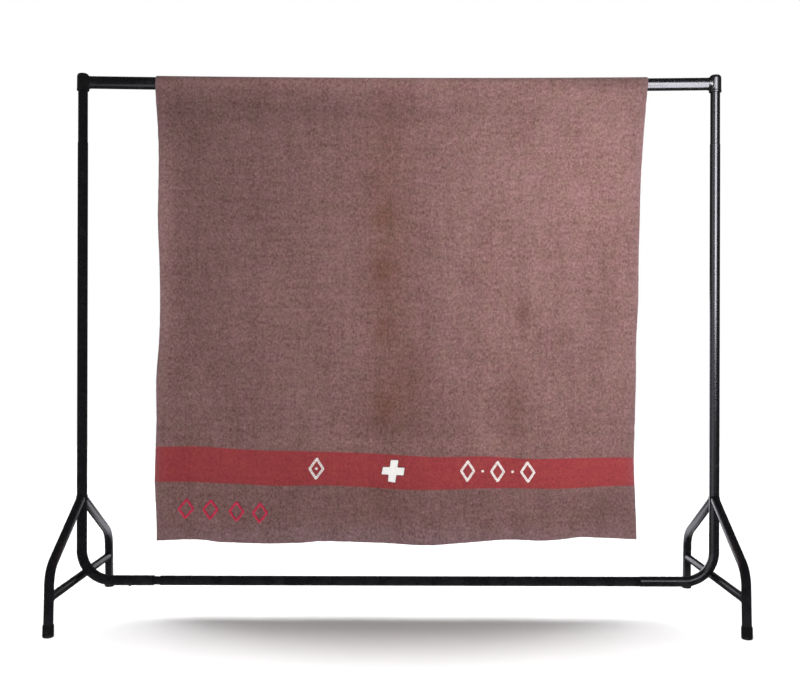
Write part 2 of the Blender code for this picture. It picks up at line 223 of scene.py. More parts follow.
def turned_bar(start, heading, rows):
    """A round bar from rows of distance along and radius."""
    bm = bmesh.new()
    heading = Vector(heading).normalized()
    face = start_tube(bm, start, heading, rows[0][1])
    for (along, radius), (next_along, next_radius) in zip(rows, rows[1:]):
        factor = next_radius / radius
        face = run_on(bm, face, heading * (next_along - along), (factor, factor, factor))
    return bm


def add_piece(bm, name, material, smooth_below=SMOOTH_BELOW):
    """Turn a bmesh into a piece of the object that rides on its body."""
    bmesh.ops.recalc_face_normals(bm, faces=bm.faces)
    mesh = bpy.data.meshes.new(name)
    bm.to_mesh(mesh)
    bm.free()
    mesh.materials.append(material)
    mesh.shade_smooth()
    mesh.set_sharp_from_angle(angle=smooth_below)
    piece = bpy.data.objects.new(name, mesh)
    bpy.context.scene.collection.objects.link(piece)
    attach(piece, "root")
    return piece


black_coat = powder_coat()
for label, side in SIDES.items():
    down = Vector((0, 0, -1))
    inward = Vector((-side, 0, 0))
    bm = bmesh.new()
    top = (side * POST_X, 0, POST_JOINT_Z)
    face = start_tube(bm, top, down, UPRIGHT_RADIUS - TUBE_RIM)
    widen = UPRIGHT_RADIUS / (UPRIGHT_RADIUS - TUBE_RIM)
    face = run_on(bm, face, down * TUBE_RIM, (widen, widen, widen))
    face = run_on(bm, face, down * (POST_JOINT_Z - TUBE_RIM - BASE_Z - BASE_BEND))
    face = turn_on(bm, face, down, inward, BASE_BEND, math.pi / 2, 24)
    face = run_on(bm, face, inward * (POST_X - BASE_BEND - BASE_REACH[label] - TUBE_RIM))
    run_on(bm, face, inward * TUBE_RIM, (1 / widen, 1 / widen, 1 / widen))
    upright = add_piece(bm, "upright_tube_" + label, black_coat)
    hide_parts("upright_" + label, "base_corner_" + label)

# The bottom rail. A tube that slips over a thinner neck at its left joint and
# butts against the right bend, held from below by a small pan-head screw.
BOTTOM_RADIUS = 0.0135
NECK_RADIUS = 0.0118
NECK_LENGTH = 0.0165
JOINT_GAP = 0.0003
SCREW_X = -0.7625
SCREW_RADIUS = 0.0038
SCREW_HEIGHT = 0.0024
SCREW_SUNK = 0.0004

rail_start = -BASE_REACH["left"] + JOINT_GAP
rail_length = BASE_REACH["right"] + BASE_REACH["left"] - 2 * JOINT_GAP
rows = [
    (0.0, NECK_RADIUS),
    (NECK_LENGTH, NECK_RADIUS),
    (NECK_LENGTH + 0.0005, BOTTOM_RADIUS - 0.0005),
    (NECK_LENGTH + 0.0011, BOTTOM_RADIUS),
    (rail_length - TUBE_RIM, BOTTOM_RADIUS),
    (rail_length, BOTTOM_RADIUS - TUBE_RIM),
]
bm = turned_bar((rail_start, 0, BASE_Z), (1, 0, 0), rows)
bottom_tube = add_piece(bm, "bottom_tube", black_coat)
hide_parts("bottom_rail")

rows = [
    (0.0, SCREW_RADIUS * 0.8),
    (0.0010, SCREW_RADIUS),
    (SCREW_HEIGHT * 0.6, SCREW_RADIUS * 0.92),
    (SCREW_HEIGHT, SCREW_RADIUS * 0.55),
]
screw_top = (SCREW_X, 0, BASE_Z - UPRIGHT_RADIUS + SCREW_SUNK)
add_piece(turned_bar(screw_top, (0, 0, -1), rows), "joint_screw", black_coat)

# The legs. Each is one tube, welded high on its upright, that slopes outwards,
# bends at the knee and runs down to its foot with a little splay.
LEG_RADIUS = 0.0125
LEG_TOP_Z = 0.322
FOOT_Y = 0.268
LEG_SPLAY = math.radians(3.0)
BRACE_SLOPE = math.radians(30.5)
KNEE_RADIUS = 0.070
LEG_END_Z = 0.0300
LEG_START = 0.006
WELD_RADIUS = 0.0021
WELD_POINTS = 40
WELD_UNEVENNESS = 0.22


def leg_point(side, out, height):
    """The middle of a leg's lower stretch at a height."""
    return Vector((side * POST_X, out * (FOOT_Y - math.tan(LEG_SPLAY) * height), height))


def saddle_points(start, along, radius, post_radius):
    """Where a round bar from a post's middle comes out of the post's surface."""
    sideways = Vector((1, 0, 0))
    upwards = along.cross(sideways)
    for index in range(WELD_POINTS):
        angle = 2 * math.pi * index / WELD_POINTS
        offset = sideways * math.cos(angle) * radius + upwards * math.sin(angle) * radius
        reach = math.sqrt(post_radius**2 - offset.x**2)
        travel = (math.copysign(reach, along.y) - offset.y) / along.y
        yield start + along * travel + offset


def add_bead(curve, points):
    """One closed ring of weld, a little uneven as it was laid."""
    spline = curve.splines.new("POLY")
    spline.points.add(len(points) - 1)
    spline.use_cyclic_u = True
    for index, (target, point) in enumerate(zip(spline.points, points)):
        target.co = (*point, 1)
        target.radius = 1.0 + WELD_UNEVENNESS * math.sin(index * 2.4)


weld_curve = bpy.data.curves.new("weld_path", "CURVE")
weld_curve.dimensions = "3D"
weld_curve.bevel_depth = WELD_RADIUS
weld_curve.bevel_resolution = 2
for label, side in SIDES.items():
    for where, out in (("front", -1), ("rear", 1)):
        along = Vector((0, out * math.cos(BRACE_SLOPE), -math.sin(BRACE_SLOPE)))
        towards = Vector((0, -out * math.sin(BRACE_SLOPE), -math.cos(BRACE_SLOPE)))
        knee = math.pi / 2 - LEG_SPLAY - BRACE_SLOPE
        slope, splay = math.tan(BRACE_SLOPE), math.tan(LEG_SPLAY)
        corner_z = (LEG_TOP_Z - slope * FOOT_Y) / (1 - slope * splay)
        corner = leg_point(side, out, corner_z)
        knee_start = corner - along * KNEE_RADIUS * math.tan(knee / 2)
        top = Vector((side * POST_X, 0, LEG_TOP_Z))
        start = top + along * LEG_START
        bm = bmesh.new()
        face = start_tube(bm, start, along, LEG_RADIUS)
        face = run_on(bm, face, knee_start - start)
        face = turn_on(bm, face, along, towards, KNEE_RADIUS, knee, 16)
        run_on(bm, face, leg_point(side, out, LEG_END_Z) - face.calc_center_median())
        tag = where + "_" + label
        leg = add_piece(bm, "leg_tube_" + tag, black_coat)
        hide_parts("brace_" + tag, "leg_" + tag)
        add_bead(weld_curve, list(saddle_points(top, along, LEG_RADIUS, UPRIGHT_RADIUS)))

# The crossbars. A thinner tube on each side, outside the base bend, with its
# ends cut to the legs' shape and welded to them.
CROSSBAR_RADIUS = 0.011
CROSSBAR_Z = 0.0975
CROSSBAR_INSET = 0.007

for label, side in SIDES.items():
    front = leg_point(side, -1, CROSSBAR_Z)
    length = 2 * abs(front.y) - 2 * CROSSBAR_INSET
    start = front + Vector((0, CROSSBAR_INSET, 0))
    rows = [(0.0, CROSSBAR_RADIUS), (length, CROSSBAR_RADIUS)]
    crossbar = add_piece(
        turned_bar(start, (0, 1, 0), rows), "crossbar_tube_" + label, black_coat
    )
    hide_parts("crossbar_" + label)
    for out in (-1, 1):
        middle = leg_point(side, out, CROSSBAR_Z)
        ring = saddle_points(Vector((0, 0, 0)), Vector((0, -out, 0)), CROSSBAR_RADIUS, LEG_RADIUS)
        add_bead(weld_curve, [middle + point for point in ring])

# The welds. The beads round every saddle joint, coated with the tubes.
weld_path = bpy.data.objects.new("weld_path", weld_curve)
bpy.context.scene.collection.objects.link(weld_path)
bpy.context.view_layer.update()
evaluated = weld_path.evaluated_get(bpy.context.evaluated_depsgraph_get())
bm = bmesh.new()
bm.from_mesh(evaluated.to_mesh())
bpy.data.objects.remove(weld_path)
bmesh.ops.remove_doubles(bm, verts=bm.verts, dist=0.00001)
welds = add_piece(bm, "welds", black_coat, math.pi)

# The foot caps. Soft black rubber pushed over the ends of the legs, flat where
# they stand, with a rolled lip at the top and two gripping ribs.
CAP_ROWS = [
    (0.0000, 0.0115),
    (0.0005, 0.0130),
    (0.0014, 0.0140),
    (0.0030, 0.0145),
    (0.0110, 0.0145),
    (0.0116, 0.0141),
    (0.0128, 0.0141),
    (0.0134, 0.0145),
    (0.0180, 0.0145),
    (0.0186, 0.0141),
    (0.0198, 0.0141),
    (0.0204, 0.0145),
    (0.0290, 0.0143),
    (0.0308, 0.0142),
    (0.0317, 0.0136),
    (0.0320, 0.0128),
]


def cap_rubber():
    rubber = Finish("cap_rubber", {"Specular IOR Level": 0.35})
    place = rubber.place()
    grain = rubber.speckle(place, 900, 3.0, 0.6)
    scuff = rubber.speckle(rubber.stretched(place, (1, 1, 0.25)), 260, 4.0, 0.65)
    low = 1 - rubber.ease(rubber.across_up(place)[2], 0.001, 0.012)
    worn = rubber.ease(scuff + low * 0.16, 0.58, 0.74)
    colour = rubber.mix(worn, (0.008, 0.008, 0.009, 1), (0.040, 0.038, 0.036, 1))
    return rubber.finish(colour, 0.62 + worn * 0.2, grain + scuff * 0.5, 0.00012)


rubber = cap_rubber()
for label, side in SIDES.items():
    for where, out in (("front", -1), ("rear", 1)):
        bm = turned_bar(leg_point(side, out, 0), (0, 0, 1), CAP_ROWS)
        for vert in bm.verts:
            vert.co.y -= out * math.tan(LEG_SPLAY) * vert.co.z
        cap = add_piece(bm, "foot_cap_%s_%s" % (where, label), rubber)
        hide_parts("foot_%s_%s" % (where, label))

# The upper posts. Thinner tubes that slide into the uprights to set the
# height, and carry the corner fittings.
UPPER_RADIUS = 0.0134
FITTING_BOTTOM_Z = 1.4745
POST_TUCK = 0.003
POST_EXTRA = 0.004

for label, side in SIDES.items():
    rise = FITTING_BOTTOM_Z - POST_JOINT_Z + POST_EXTRA
    rows = [(0.0, UPPER_RADIUS), (rise, UPPER_RADIUS)]
    bm = turned_bar((side * POST_X, 0, POST_JOINT_Z - POST_TUCK), (0, 0, 1), rows)
    post = add_piece(bm, "upper_tube_" + label, black_coat)
    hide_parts("upper_post_" + label)

# The corner fittings. Moulded black plastic: a domed barrel over the post and
# a collar for the top rail, run together with soft fillets.
RAIL_Z = 1.4985
RAIL_END_X = 0.8767
COLLAR_RADIUS = 0.0178
VOXEL = 0.0009
BARREL_ROWS = [
    (0.0000, 0.0166),
    (0.0008, 0.0174),
    (0.0044, 0.0174),
    (0.0058, 0.0167),
    (0.0400, 0.0166),
    (0.0435, 0.0160),
    (0.0467, 0.0143),
    (0.0488, 0.0113),
    (0.0495, 0.0078),
]

# The collar, from its mouth outwards. Columns: length of the step, factors on
# its depth and on its height.
COLLAR_GAP = 0.0003
COLLAR_STEPS = [
    (0.0020, 1.00, 1.00),
    (0.0045, 1.00, 1.08),
    (0.0055, 1.00, 1.24),
    (0.0100, 0.60, 0.70),
]


def moulded_plastic():
    plastic = Finish("moulded_plastic", {"Specular IOR Level": 0.7})
    place = plastic.place()
    grain = plastic.speckle(place, 1300, 2.0, 0.5)
    flow = plastic.speckle(plastic.stretched(place, (1, 1, 0.3)), 60, 3.0, 0.5)
    colour = plastic.mix(flow, (0.0045, 0.0042, 0.0055, 1), (0.009, 0.0085, 0.010, 1))
    return plastic.finish(colour, 0.26 + flow * 0.09, grain, 0.00001)


def melted(bm, name, voxel, rounds):
    """Run a mesh of overlapping closed shapes together and soften its joins."""
    mesh = bpy.data.meshes.new(name)
    bm.to_mesh(mesh)
    bm.free()
    shape = bpy.data.objects.new(name, mesh)
    bpy.context.scene.collection.objects.link(shape)
    remesh = shape.modifiers.new("Remesh", "REMESH")
    remesh.mode = "VOXEL"
    remesh.voxel_size = voxel
    soften = shape.modifiers.new("Soften", "SMOOTH")
    soften.factor = 0.5
    soften.iterations = rounds
    bpy.context.view_layer.update()
    evaluated = shape.evaluated_get(bpy.context.evaluated_depsgraph_get())
    result = bmesh.new()
    result.from_mesh(evaluated.to_mesh())
    bpy.data.objects.remove(shape)
    return result


plastic = moulded_plastic()
for label, side in SIDES.items():
    bottom = (side * POST_X, 0, FITTING_BOTTOM_Z)
    bm = turned_bar(bottom, (0, 0, 1), BARREL_ROWS)
    collar = bmesh.new()
    outward = Vector((side, 0, 0))
    mouth = (side * (RAIL_END_X + COLLAR_GAP), 0, RAIL_Z)
    face = start_tube(collar, mouth, outward, COLLAR_RADIUS)
    for step, deeper, taller in COLLAR_STEPS:
        face = run_on(collar, face, outward * step, (1, deeper, taller))
    collar_mesh = bpy.data.meshes.new("collar")
    collar.to_mesh(collar_mesh)
    collar.free()
    bm.from_mesh(collar_mesh)
    bm = melted(bm, "fitting_shape", VOXEL, 4)
    fitting = add_piece(bm, "fitting_" + label, plastic, math.pi)
    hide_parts("corner_fitting_" + label)

# The top rail. The thickest tube, pushed into the fittings at both ends; it
# sags a little under the weight of the cloth.
RAIL_RADIUS = 0.0175
RAIL_SAG = 0.006
RAIL_BAYS = 40


def rail_height(x):
    """The middle of the loaded top rail at a place across."""
    return RAIL_Z - RAIL_SAG * max(0.0, 1.0 - (x / RAIL_END_X) ** 2)


bm = bmesh.new()
face = start_tube(bm, (-RAIL_END_X, 0, RAIL_Z), (1, 0, 0), RAIL_RADIUS)
bay = 2 * RAIL_END_X / RAIL_BAYS
for index in range(RAIL_BAYS):
    here = -RAIL_END_X + index * bay
    face = run_on(bm, face, (bay, 0, rail_height(here + bay) - rail_height(here)))
top_tube = add_piece(bm, "top_tube", black_coat)
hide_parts("top_rail")

# The blanket. One length of heavily felted wool cloth, cut and left unhemmed,
# with a red stripe woven in near one end. It hangs over the top rail, longer in
# front, and keeps the soft creases in which it was stored.
CLOTH_THICKNESS = 0.003
CLOTH_WIDTH = 1.40
CLOTH_LENGTH = 2.0
WRAP_RADIUS = RAIL_RADIUS + CLOTH_THICKNESS / 2 + 0.0004
COLUMNS = 170
FRONT_ROWS = 160
WRAP_ROWS = 14
BACK_ROWS = 56
CLOTH_ROUNDING = 0.0011
CUT_EDGE_ANGLE = math.radians(60)
RIM_FADE = 0.011
FADE_BELOW_RAIL = 0.12

# The side edges of the front panel. Columns: height, left edge, right edge.
FRONT_OUTLINE = [
    (0.195, -0.679, 0.676),
    (0.260, -0.680, 0.674),
    (0.370, -0.685, 0.669),
    (0.430, -0.684, 0.667),
    (0.540, -0.681, 0.669),
    (0.655, -0.682, 0.671),
    (0.770, -0.674, 0.671),
    (0.880, -0.672, 0.676),
    (0.995, -0.675, 0.677),
    (1.105, -0.680, 0.680),
    (1.220, -0.679, 0.683),
    (1.305, -0.679, 0.688),
    (1.390, -0.683, 0.694),
    (1.460, -0.688, 0.700),
    (1.500, -0.689, 0.704),
]

# The side edges of the back panel. Columns: height, left edge, right edge.
BACK_OUTLINE = [
    (0.850, -0.667, 0.671),
    (1.100, -0.672, 0.676),
    (1.300, -0.675, 0.682),
    (1.500, -0.687, 0.702),
]

# The front hem. Columns: place across, height of the edge.
FRONT_HEM = [
    (-0.680, 0.2020),
    (-0.560, 0.2020),
    (-0.500, 0.1955),
    (-0.280, 0.1940),
    (-0.220, 0.1985),
    (-0.110, 0.1965),
    (0.060, 0.1900),
    (0.120, 0.1910),
    (0.230, 0.1990),
    (0.290, 0.2035),
    (0.400, 0.2030),
    (0.455, 0.2070),
    (0.515, 0.2135),
    (0.570, 0.2110),
    (0.675, 0.2050),
]

# The broad folds. Columns: place across, half width, how far the cloth stands
# proud at the hem, height where it dies out, lean to the right per metre up.
FRONT_FOLDS = [
    (-0.675, 0.045, 0.010, 1.25, 0.00),
    (-0.570, 0.060, -0.004, 1.05, 0.00),
    (-0.370, 0.055, 0.008, 1.30, 0.02),
    (-0.210, 0.070, -0.003, 0.95, 0.00),
    (-0.040, 0.045, -0.005, 1.47, -0.01),
    (0.085, 0.070, 0.007, 1.20, 0.00),
    (0.325, 0.045, -0.007, 1.10, -0.02),
    (0.460, 0.080, 0.008, 1.35, 0.02),
    (0.660, 0.060, -0.007, 1.15, 0.00),
]
BACK_FOLDS = [
    (-0.640, 0.070, 0.006, 1.35, 0.00),
    (-0.330, 0.060, 0.004, 1.42, 0.03),
    (-0.030, 0.050, -0.003, 1.45, 0.00),
    (0.240, 0.080, 0.007, 1.40, 0.00),
    (0.560, 0.070, 0.004, 1.38, -0.03),
]

# The low swell across the front panel.
SWELL_Z = 0.86
SWELL_HALF_HEIGHT = 0.24
SWELL_PROUD = 0.005

# The sharper storage creases of the front. Columns: place across, lowest and
# highest end, half width, depth (negative for a ridge), lean.
CREASE_END = 0.12
CREASE_WANDER = 0.004
CREASES = [
    (-0.043, 0.45, 1.46, 0.0130, 0.0022, 0.004),
    (-0.013, 0.50, 1.30, 0.0120, -0.0012, 0.000),
    (0.312, 0.44, 0.96, 0.0110, 0.0020, -0.010),
    (0.346, 0.40, 0.92, 0.0130, -0.0014, 0.000),
    (0.336, 0.92, 1.47, 0.0110, 0.0014, 0.010),
    (-0.352, 0.46, 0.98, 0.0200, 0.0016, 0.030),
    (0.130, 0.24, 0.42, 0.0120, 0.0013, 0.000),
    (0.560, 0.21, 0.36, 0.0140, 0.0015, 0.040),
]

# The stripe, which isn't quite even. Columns: place across, height of its
# lower and of its upper edge.
NO_STRIPE = 9.0
STRIPE = [
    (-0.690, 0.3678, 0.4672),
    (-0.659, 0.3669, 0.4663),
    (-0.546, 0.3639, 0.4655),
    (-0.433, 0.3597, 0.4582),
    (-0.320, 0.3558, 0.4549),
    (-0.207, 0.3567, 0.4518),
    (-0.095, 0.3522, 0.4485),
    (0.018, 0.3455, 0.4424),
    (0.131, 0.3461, 0.4387),
    (0.244, 0.3496, 0.4405),
    (0.357, 0.3496, 0.4338),
    (0.470, 0.3505, 0.4361),
    (0.583, 0.3565, 0.4381),
    (0.680, 0.3569, 0.4372),
]

# Brown stains, and with a minus sign places that are paler and bluer.
# Columns: place across, height, half width, half height, strength.
STAINS = [
    (-0.035, 1.25, 0.065, 0.220, 0.50),
    (-0.030, 0.93, 0.062, 0.200, 0.60),
    (-0.020, 0.61, 0.066, 0.130, 0.60),
    (-0.043, 1.119, 0.034, 0.030, 0.60),
    (-0.046, 0.967, 0.036, 0.040, 0.55),
    (-0.040, 0.797, 0.028, 0.030, 0.60),
    (-0.042, 0.569, 0.036, 0.050, 0.55),
    (-0.050, 0.310, 0.070, 0.050, 0.45),
    (0.050, 0.640, 0.040, 0.150, 0.35),
    (0.350, 0.845, 0.018, 0.050, 0.60),
    (0.330, 0.560, 0.034, 0.130, 0.45),
    (-0.676, 0.95, 0.030, 0.280, -0.60),
    (-0.100, 0.208, 0.700, 0.034, -1.00),
]

# Painted shade and painted light on the front, with some tone that differs from place to place:
# darker where the cloth under the rail and along folds and creases falls in shade, and with a
# minus sign paler where it catches light. Same columns.
SHADE_AND_LIGHT_PATCHES = [
    (-0.050, 1.412, 0.800, 0.028, 0.11),
    (-0.620, 1.420, 0.080, 0.080, 0.07),
    (-0.300, 1.512, 0.420, 0.030, -0.48),
    (0.620, 1.505, 0.170, 0.034, 0.32),
    (0.570, 0.760, 0.060, 0.240, 0.10),
    (0.500, 0.780, 0.080, 0.110, 0.07),
    (0.340, 1.000, 0.030, 0.120, 0.08),
    (0.352, 0.848, 0.014, 0.045, 0.17),
    (0.328, 0.985, 0.010, 0.130, -0.11),
    (0.335, 0.560, 0.033, 0.120, 0.07),
    (0.060, 0.860, 0.050, 0.400, 0.05),
    (0.000, 0.478, 0.600, 0.020, -0.09),
    (0.000, 0.325, 0.800, 0.030, 0.05),
    (0.570, 0.305, 0.060, 0.045, 0.17),
    (0.420, 0.300, 0.030, 0.040, 0.10),
    (-0.350, 0.900, 0.040, 0.060, -0.14),
    (-0.400, 0.700, 0.120, 0.200, -0.04),
    (0.265, 0.860, 0.030, 0.180, -0.08),
    (-0.672, 1.050, 0.036, 0.330, -0.50),
    (0.520, 1.200, 0.070, 0.080, -0.10),
    (0.262, 0.985, 0.040, 0.060, -0.10),
    (-0.148, 0.515, 0.040, 0.050, -0.11),
    (-0.046, 0.515, 0.030, 0.050, 0.10),
    (-0.456, 0.690, 0.060, 0.060, 0.10),
    (0.570, 0.260, 0.050, 0.040, 0.10),
    (-0.250, 0.950, 0.200, 0.360, -0.05),
    (-0.200, 0.474, 0.080, 0.025, -0.10),
    (0.262, 0.474, 0.050, 0.030, -0.13),
    (0.467, 0.474, 0.050, 0.030, -0.10),
    (0.030, 0.510, 0.060, 0.050, 0.11),
    (0.060, 0.235, 0.030, 0.035, -0.12),
    (0.640, 0.260, 0.050, 0.060, 0.08),
]


def smooth_step(low, high, value):
    share = min(1.0, max(0.0, (value - low) / (high - low)))
    return share * share * (3.0 - 2.0 * share)


def read_table(table, column, place):
    """A smooth curve through one column of a table, by its first column."""
    places = [row[0] for row in table]
    if place <= places[0]:
        return table[0][column]
    if place >= places[-1]:
        return table[-1][column]
    index = bisect.bisect_right(places, place) - 1

    def slope(at):
        before = max(at - 1, 0)
        after = min(at + 1, len(table) - 1)
        rise = table[after][column] - table[before][column]
        return rise / (places[after] - places[before])

    span = places[index + 1] - places[index]
    t = (place - places[index]) / span
    start = table[index][column]
    end = table[index + 1][column]
    return (
        (2 * t**3 - 3 * t**2 + 1) * start
        + (t**3 - 2 * t**2 + t) * span * slope(index)
        + (-2 * t**3 + 3 * t**2) * end
        + (t**3 - t**2) * span * slope(index + 1)
    )


def fold_relief(folds, hem, across, height):
    """How far the broad folds make a panel stand proud."""
    proud = 0.0
    for place, half_width, depth, dies_at, lean in folds:
        offset = across - (place + lean * (height - hem))
        grows = 1.0 - smooth_step(hem, dies_at, height)
        proud += depth * grows * math.exp(-((offset / half_width) ** 2))
    return proud


def crease_relief(across, height):
    """The storage creases: soft troughs and ridges that fade at their ends."""
    proud = 0.0
    for place, low, high, half_width, depth, lean in CREASES:
        wander = CREASE_WANDER * noise.noise(Vector((place * 40, height * 6, 0)))
        offset = across - (place + lean * (height - low) + wander)
        begins = smooth_step(low, low + CREASE_END, height)
        ends = begins * (1 - smooth_step(high - CREASE_END, high, height))
        proud -= depth * ends * math.exp(-((offset / half_width) ** 2))
    return proud


def slackness(across, along):
    """Slight unevenness of thick felted cloth, which never hangs quite flat."""
    wide = noise.noise(Vector((across * 5.0, along * 3.2, 3.0)))
    small = noise.noise(Vector((across * 17.0, along * 13.0, 8.0)))
    return 0.0011 * wide + 0.0004 * small


def front_relief(across, height):
    lift = (height - SWELL_Z) / SWELL_HALF_HEIGHT
    swell = SWELL_PROUD * math.exp(-(lift**2))
    return swell + fold_relief(FRONT_FOLDS, FRONT_HEM[0][1], across, height)


def back_relief(across, height):
    return fold_relief(BACK_FOLDS, BACK_OUTLINE[0][0], across, height)


def back_hem(across):
    """The length left over for the back, after the front and the wrap."""
    front = rail_height(across) - read_table(FRONT_HEM, 1, across)
    over = math.pi * WRAP_RADIUS
    return rail_height(across) - (CLOTH_LENGTH - front - over)


def edge_to_edge(outline, height, share):
    """A place across at a share of the width, with slightly ragged edges."""
    left = read_table(outline, 1, height) + 0.0007 * noise.noise(Vector((0, height * 45, 0)))
    right = read_table(outline, 2, height) + 0.0007 * noise.noise(Vector((9, height * 45, 0)))
    return left + (right - left) * share


def drape(share, row):
    """The middle of the cloth at a share of its width and a row along it."""
    over = edge_to_edge(FRONT_OUTLINE, RAIL_Z, share)
    crest = rail_height(over)
    if row <= FRONT_ROWS:
        foot = edge_to_edge(FRONT_OUTLINE, FRONT_OUTLINE[0][0], share)
        ragged = 0.0008 * noise.noise(Vector((foot * 55, 0, 5)))
        hem = read_table(FRONT_HEM, 1, foot) + ragged
        height = hem + (crest - hem) * row / FRONT_ROWS
        across = edge_to_edge(FRONT_OUTLINE, height, share)
        fades = 1 - smooth_step(crest - FADE_BELOW_RAIL, crest, height)
        proud = front_relief(across, height)
        proud += fades * (crease_relief(across, height) + slackness(across, height))
        return Vector((across, -WRAP_RADIUS - proud, height))
    if row <= FRONT_ROWS + WRAP_ROWS:
        angle = math.pi * (row - FRONT_ROWS) / WRAP_ROWS
        rise = WRAP_RADIUS * math.sin(angle)
        return Vector((over, -WRAP_RADIUS * math.cos(angle), crest + rise))
    down = (row - FRONT_ROWS - WRAP_ROWS) / BACK_ROWS
    height = crest + (back_hem(over) - crest) * down
    across = edge_to_edge(BACK_OUTLINE, height, share)
    fades = 1 - smooth_step(crest - FADE_BELOW_RAIL, crest, height)
    proud = back_relief(across, height) + fades * slackness(across, height + 4.0)
    return Vector((across, WRAP_RADIUS + proud, height))


def length_along(row):
    """Distance along the cloth from the front hem, in metres."""
    front = RAIL_Z - RAIL_SAG - FRONT_HEM[0][1]
    over = math.pi * WRAP_RADIUS
    if row <= FRONT_ROWS:
        return front * row / FRONT_ROWS
    if row <= FRONT_ROWS + WRAP_ROWS:
        return front + over * (row - FRONT_ROWS) / WRAP_ROWS
    down = (row - FRONT_ROWS - WRAP_ROWS) / BACK_ROWS
    return front + over + (CLOTH_LENGTH - front - over) * down


def stripe_place(across, height):
    """Height above the stripe's middle, in half widths of the stripe."""
    low = read_table(STRIPE, 1, across)
    high = read_table(STRIPE, 2, across)
    return (2 * height - high - low) / (high - low)


def patch_level(patches, across, height):
    total = 0.0
    for place, middle, half_width, half_height, strength in patches:
        offset = ((across - place) / half_width) ** 2 + ((height - middle) / half_height) ** 2
        total += strength * math.exp(-offset)
    return min(1.3, total)


def felted_wool():
    wool = Finish(
        "felted_wool",
        {
            "Specular IOR Level": 0.2,
            "Sheen Weight": 0.27,
            "Sheen Roughness": 0.55,
            "Sheen Tint": (1.0, 0.90, 0.90, 1),
        },
    )
    weave = wool.add("ShaderNodeUVMap", {"uv_map": "cloth"}, {}).outputs[0]
    band = wool.add("ShaderNodeUVMap", {"uv_map": "stripe"}, {}).outputs[0]
    # The shade level carries painted shade, and painted light where it is negative; stain carries
    # the stains.
    stain, shade, rim = (wool.painted(name) for name in ("stain", "shade", "rim"))

    tuft = wool.speckle(wool.stretched(weave, (1.0, 0.75, 1.0)), 150, 2.0, 0.55)
    fibre = wool.speckle(wool.stretched(weave, (1.0, 0.45, 1.0)), 430, 2.0, 0.55)
    hue = wool.speckle(weave, 24, 3.0, 0.6)
    cloud = wool.speckle(wool.stretched(weave, (1.0, 0.5, 1.0)), 9, 4.0, 0.6)
    pale = wool.ease(wool.speckle(weave, 240, 2.0, 0.6), 0.58, 0.70)
    dark = wool.ease(wool.speckle(weave, 190, 2.0, 0.6), 0.58, 0.68)

    mauve, brown = (0.230, 0.118, 0.119, 1), (0.208, 0.114, 0.102, 1)
    colour = wool.mix(wool.ease(hue, 0.35, 0.65), mauve, brown)
    colour = wool.mix(dark * 0.36, colour, (0.125, 0.048, 0.046, 1))
    colour = wool.mix(pale * 0.38, colour, (0.42, 0.31, 0.29, 1))

    red, orange = (0.337, 0.045, 0.053, 1), (0.347, 0.050, 0.051, 1)
    dyed = wool.mix(wool.ease(wool.speckle(weave, 30, 3.0, 0.6), 0.42, 0.66), red, orange)
    dyed = wool.mix(dark * 0.20, dyed, (0.18, 0.020, 0.026, 1))
    dyed = wool.mix(pale * 0.10, dyed, (0.55, 0.22, 0.20, 1))
    edge = 1 - abs(wool.across_up(band)[1]) + (tuft - 0.5) * 0.10
    in_stripe = wool.ease(edge, -0.02, 0.03)
    colour = wool.mix(in_stripe, colour, dyed)

    weft = wool.speckle(wool.stretched(weave, (0.22, 1.7, 1.0)), 34, 3.0, 0.6)
    warp = wool.speckle(wool.stretched(weave, (1.7, 0.22, 1.0)), 34, 3.0, 0.6)
    mottle = wool.speckle(weave, 62, 3.0, 0.65)
    unevenness = (tuft - 0.5) * 1.6 + (fibre - 0.5) * 1.1 + (cloud - 0.5) * 0.6
    unevenness = unevenness + (weft - 0.5) * 0.45 + (warp - 0.5) * 0.45 + (mottle - 0.5) * 0.8
    unevenness = unevenness * (1 - in_stripe * 0.5)
    colour = wool.tinted(colour, 1 + unevenness * 0.8, 1 + unevenness, 1 + unevenness)
    worn = stain * (0.52 + cloud * 0.85)
    # Painted shade darkens the cloth's colour here, and painted light makes it paler.
    light = 0.94 - shade * 0.94
    colour = wool.tinted(colour, light - worn * 0.19, light - worn * 0.28, light - worn * 0.38)
    colour = wool.mix(rim * 0.35, colour, (0.22, 0.15, 0.17, 1))
    return wool.finish(colour, 0.92, tuft * 0.7 + fibre * 0.4, 0.0009)


def thicken(sheet, thickness, rounding):
    """Give a flat piece its thickness and round its cut edges a little."""
    body = sheet.modifiers.new("Thickness", "SOLIDIFY")
    body.thickness = thickness
    body.offset = 0.0
    edges = sheet.modifiers.new("Edges", "BEVEL")
    edges.width = rounding
    edges.segments = 2
    edges.limit_method = "ANGLE"
    edges.angle_limit = CUT_EDGE_ANGLE
    return body


